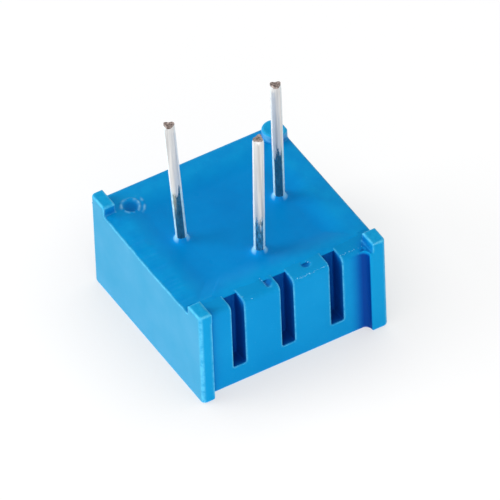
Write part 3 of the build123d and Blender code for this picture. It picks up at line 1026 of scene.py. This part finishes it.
def resin_height(x, y):
    """Height of the resin's surface at a place."""
    out = outside_pool(x, y)
    if out > 0:
        height = wall_level(x, y) + FILM_DEPTH * (1 - (out / film_width(x, y)) ** 3)
        return max(height, wall_level(x, y) - FILM_DEPTH)
    nearest_wall = -BODY_HALF if -x > abs(y) else 0
    edge = wall_level(nearest_wall, y, max(0.0, 1 + out / WAVE_REACH) ** 2)
    creep = max(0.0, 1 + out / CREEP_REACH)
    creep = creep * creep * (3 - 2 * creep)
    level = RESIN_LEVEL + rippled(x, y, RESIN_RIPPLES) * (1 - creep)
    height = level + (edge + FILM_DEPTH - RESIN_LEVEL) * creep
    for pin in PINS.values():
        away = max(0.0, hypot(x - pin["place"][0], y - pin["place"][1]) - PIN_RADIUS)
        height += COLLAR_RISE * exp(-away / COLLAR_REACH) + SWELL_RISE * exp(-away / SWELL_REACH)
    away, aside = round_bubble(x, y)
    if away < 2 * BUBBLE_RADIUS:
        height += BUBBLE_RIM * on_ring(away, BUBBLE_RADIUS)
        height -= BUBBLE_DEPTH * max(0.0, 1 - (away / BUBBLE_RADIUS) ** 2)
        height += BUBBLE_RIM / 2 * max(0.0, aside) ** 4 * on_ring(away, BUBBLE_OUTER)
    return height


def resin_glints(x, y):
    """Painted highlights on the resin: most on each pin's collar at its two flanks, and in patches round
    the bubble.
    """
    found = 0.0
    for name, pin in PINS.items():
        across, along = x - pin["place"][0], y - pin["place"][1]
        away = hypot(across, along)
        if away > 2 * PIN_RADIUS:
            continue
        flank = abs(across * GLINT_WAYS[name][0] + along * GLINT_WAYS[name][1]) / max(away, NEVER_ZERO)
        band = max(0.0, 1 - abs(away - PIN_RADIUS - GLINT_BAND[0]) / GLINT_BAND[1])
        found = max(found, band * max(0.0, (flank - GLINT_FLANK) / (1 - GLINT_FLANK)) ** GLINT_POWER)
    away, aside = round_bubble(x, y)
    patchy = 0.10 + 0.60 * abs(aside) ** 1.5 + rippled(x, y, BUBBLE_PATCHES)
    rim = BUBBLE_GLINT["rim"] * on_ring(away, BUBBLE_RADIUS) * max(0.0, patchy)
    outer = BUBBLE_GLINT["outer"] * on_ring(away, BUBBLE_OUTER) * max(0.0, aside) ** 4
    outer *= max(0.0, 2 * patchy - 1)
    return min(1.0, max(found, rim, outer))


def grid_lines(low, high, fine_places, fixed):
    """Grid positions: coarse steps, fine ones round each pin and the bubble, and some fixed lines."""
    lines = set(fixed)
    value = low
    while value < high:
        lines.add(round(value, 4))
        near = any(abs(value - place) < FINE_REACH for place in fine_places)
        value += FINE_STEP if near else COARSE_STEP
    lines.add(high)
    ordered = sorted(lines)
    kept = [ordered[0]]
    for value in ordered[1:]:
        if value - kept[-1] > NEAREST_LINES:
            kept.append(value)
    return kept


def edge_lines(edges):
    """A line on each of the pool's two edges and one just inside each."""
    low, high = edges
    return [low, low + POOL_EDGE_STEP, high - POOL_EDGE_STEP, high]


def round_the_edge(rows):
    """The outermost vertices of a grid, in order round it."""
    return rows[0] + [row[-1] for row in rows[1:]] + rows[-1][-2::-1] + [row[0] for row in rows[-2:0:-1]]


def make_resin(finishes):
    edge = BODY_HALF - RESIN_INSET
    detailed = [pin["place"] for pin in PINS.values()] + [BUBBLE]
    xs = grid_lines(-edge, edge, [place[0] for place in detailed], edge_lines((-POOL_X, POOL_X)))
    ys = grid_lines(POOL_Y[0] - FILM_FRONT - FILM_FRONT_ROOM, edge, [place[1] for place in detailed],
                    edge_lines(POOL_Y))
    work = bmesh.new()
    wet = work.verts.layers.float.new("wet")
    film = work.verts.layers.float.new("film")
    tops = []
    for y in ys:
        tops.append([work.verts.new(Vector((x, y, resin_height(x, y))) * MM) for x in xs])
    for y, row in zip(ys, tops):
        for x, vertex in zip(xs, row):
            vertex[wet] = resin_glints(x, y)
            vertex[film] = min(1.0, max(0.0, 1 + outside_pool(x, y) / FILM_FADE))
    unders = []
    for y in ys:
        floors = [POOL_FLOOR if outside_pool(x, y) < 0 else wall_level(x, y) - FILM_UNDER for x in xs]
        unders.append([work.verts.new(Vector((x, y, floor)) * MM) for x, floor in zip(xs, floors)])
    for j in range(len(ys) - 1):
        for i in range(len(xs) - 1):
            work.faces.new((tops[j][i], tops[j][i + 1], tops[j + 1][i + 1], tops[j + 1][i]))
            work.faces.new((unders[j][i], unders[j + 1][i], unders[j + 1][i + 1], unders[j][i + 1]))
    rim_top = round_the_edge(tops)
    rim_under = round_the_edge(unders)
    for k in range(len(rim_top)):
        after = (k + 1) % len(rim_top)
        work.faces.new((rim_under[k], rim_under[after], rim_top[after], rim_top[k]))
    low = [vertex for row in unders for vertex in row]
    bmesh.ops.dissolve_limit(work, angle_limit=radians(UNDER_FLAT_ANGLE), verts=low,
                             edges=list({line for vertex in low for line in vertex.link_edges}))
    mesh = bpy.data.meshes.new("resin_fill")
    work.to_mesh(mesh)
    work.free()
    smooth(mesh)
    mesh.materials.append(finishes["sealing_resin"])
    settle(link_object("resin_fill", mesh), "housing", slots["resin_seal"], "resin_seal")


# Crumbs of torn flash along the moulding's edges

def random_value(tree, given, kind, output, **inputs):
    """A random value of one kind, from the tree's own seed, with its inputs set by their names."""
    made = add_node(tree, "FunctionNodeRandomValue", data_type=kind)
    for socket in [socket for socket in made.inputs if socket.enabled]:
        value = given["Seed"] if socket.name == "Seed" else inputs.get(socket.name)
        if isinstance(value, bpy.types.NodeSocket):
            tree.links.new(value, socket)
        elif value is not None:
            socket.default_value = value
    return made.outputs[output]


def crumb_tree():
    tree, given = start_tree(
        "flash_crumbs", Spacing="Float", Stray="Float", Smallest="Float", Largest="Float", Share="Float",
        Seed="Int", Finish="Material")
    spots = add_node(tree, "GeometryNodeResampleCurve", {
        "Curve": given["Geometry"], "Length": given["Spacing"],
    }, mode="LENGTH")
    near = vector_math(tree, "SCALE", (1, 1, 1), given["Stray"])
    far = vector_math(tree, "SCALE", near, -1.0)
    stray = random_value(tree, given, "FLOAT_VECTOR", 0, Min=far, Max=near)
    loose = add_node(tree, "GeometryNodeSetPosition", {"Geometry": spots.outputs[0], "Offset": stray})
    kept = random_value(tree, given, "BOOLEAN", 3, Probability=given["Share"])
    turn = random_value(tree, given, "FLOAT_VECTOR", 0, Min=(0, 0, 0), Max=(CRUMB_TURN,) * 3)
    size = random_value(tree, given, "FLOAT", 1, Min=given["Smallest"], Max=given["Largest"])
    crumb = add_node(tree, "GeometryNodeMeshIcoSphere", {"Radius": 1.0, "Subdivisions": 2})
    scale = add_node(tree, "ShaderNodeCombineXYZ", {
        0: product(tree, size, CRUMB_LONG), 1: size, 2: product(tree, size, CRUMB_FLAT),
    })
    placed = add_node(tree, "GeometryNodeInstanceOnPoints", {
        "Points": loose.outputs[0], "Selection": kept, "Instance": crumb.outputs[0],
        "Rotation": turn, "Scale": scale.outputs[0],
    })
    solid = add_node(tree, "GeometryNodeRealizeInstances", {"Geometry": placed.outputs[0]})
    finished = add_node(tree, "GeometryNodeSetMaterial", {
        "Geometry": solid.outputs[0], "Material": given["Finish"],
    })
    return end_tree(tree, finished.outputs[0])


def make_crumbs(finishes):
    piece = grown_piece(
        "flash_crumbs", FLASH_LINES, crumb_tree(), Spacing=CRUMB_SPACING * MM, Stray=CRUMB_STRAY * MM,
        Smallest=CRUMB_SIZES[0] * MM, Largest=CRUMB_SIZES[1] * MM, Share=CRUMB_SHARE, Seed=CRUMB_SEED,
        Finish=finishes["torn_flash"])
    settle(piece, "housing", "housing_plastic")


make_camera()
make_sky()
for lamp_name, lamp in LAMPS.items():
    make_lamp(lamp_name, **lamp)
make_floor()
all_finishes = make_finishes()
for name, node in nodes.items():
    node.data.materials.clear()
    node.data.materials.append(all_finishes[slots[name]])

make_housing(all_finishes)
make_rotor(all_finishes)
make_pins(all_finishes)
make_resin(all_finishes)
make_crumbs(all_finishes)

bpy.context.scene.view_settings.view_transform = "Standard"
